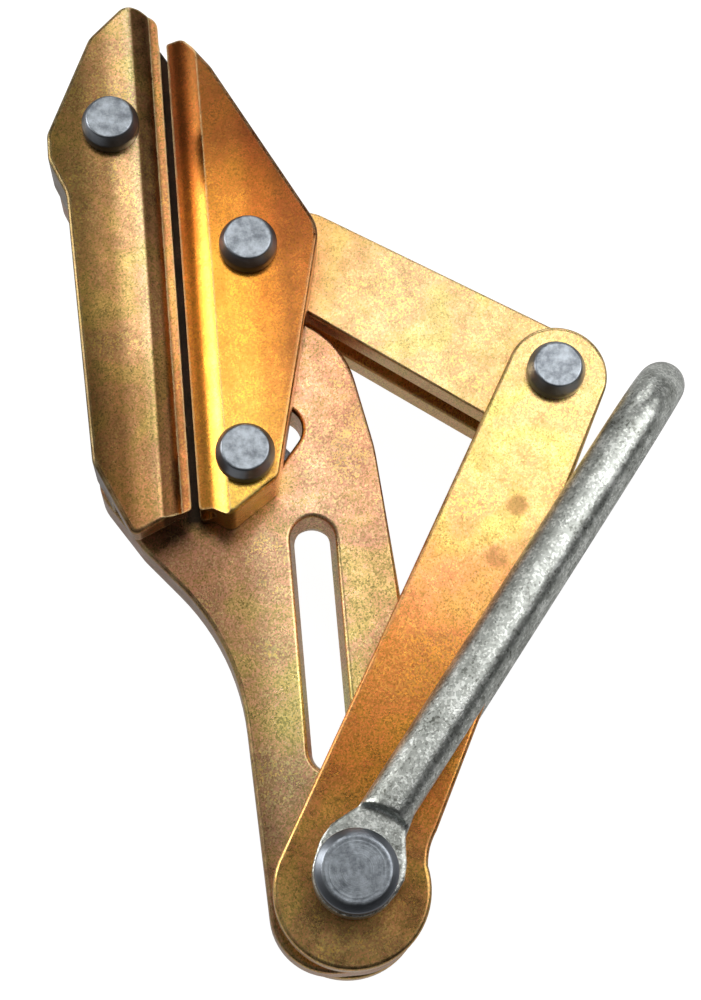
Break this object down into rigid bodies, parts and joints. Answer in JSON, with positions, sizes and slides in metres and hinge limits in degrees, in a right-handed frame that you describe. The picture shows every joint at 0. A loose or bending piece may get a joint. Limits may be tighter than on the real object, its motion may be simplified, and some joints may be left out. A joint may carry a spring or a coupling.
{
  "type": "self-gripping wire clamp",
  "caption": "Self-gripping come-along clamp: a lever and link close a sliding jaw on a fixed jaw when the pull bail is loaded.",
  "frame": {"origin": "on the axis of the conductor groove, half way along the moving jaw", "axes": "+Y along the conductor, away from the main pin; +X from the fixed jaw to the moving jaw; +Z out of the face that carries the jaws"},
  "size_m": [0.1322, 0.2063, 0.0546],
  "materials": {
    "body_plate": "forged steel, yellow-passivated zinc plating",
    "fixed_jaw": "forged steel, yellow-passivated zinc plating, olive cast",
    "moving_jaw": "forged steel, yellow-passivated zinc plating, orange cast",
    "link": "plate steel, yellow-passivated zinc plating",
    "lever": "plate steel, yellow-passivated zinc plating",
    "rivet": "bare turned steel heads",
    "washer": "zinc-plated steel",
    "bush": "plain turned steel",
    "bail": "hot-dip galvanised round bar"
  },
  "bodies": {
    "body": {"body_plate": "body_plate", "fixed_jaw": "fixed_jaw", "fixed_jaw_dowels": "bush", "fixed_jaw_rivet": "rivet", "fixed_jaw_washer": "washer", "main_pin": "rivet", "main_pin_washer": "washer"},
    "jaw": {"moving_jaw": "moving_jaw", "link_jaw_pin": "rivet", "link_jaw_washer": "washer", "guide_pin": "rivet", "guide_washer": "washer"},
    "link": {"link_plate_front": "link", "link_plate_rear": "link", "link_jaw_bush": "bush", "lever_link_bush": "bush"},
    "lever": {"lever_plate_front": "lever", "lever_plate_rear": "lever", "lever_link_pin": "rivet", "lever_link_washer": "washer"},
    "bail": {"pull_bail": "bail"}
  },
  "joints": [
    {"name": "jaw_slide", "type": "slide", "parent": "body", "child": "jaw", "axis": [0.6293, 0.7771, 0], "range_m": [0, 0.012]},
    {"name": "link_pivot", "type": "hinge", "parent": "jaw", "child": "link", "pos_m": [0.0148, 0.0024, -0.011], "axis": [0, 0, 1], "range_deg": [-9.85, 0]},
    {"name": "lever_pivot", "type": "hinge", "parent": "body", "child": "lever", "pos_m": [0.0253, -0.1281, -0.011], "axis": [0, 0, 1], "range_deg": [-0.73, 0]},
    {"name": "bail_pivot", "type": "hinge", "parent": "body", "child": "bail", "pos_m": [0.0253, -0.1281, -0.011], "axis": [0, 0, 1], "range_deg": [-285, 1.5]}
  ],
  "couplings": [
    {"joint": "link_pivot", "follows": "jaw_slide", "rad_per_m": -14.311},
    {"joint": "lever_pivot", "follows": "jaw_slide", "rad_per_m": -1.048}
  ]
}
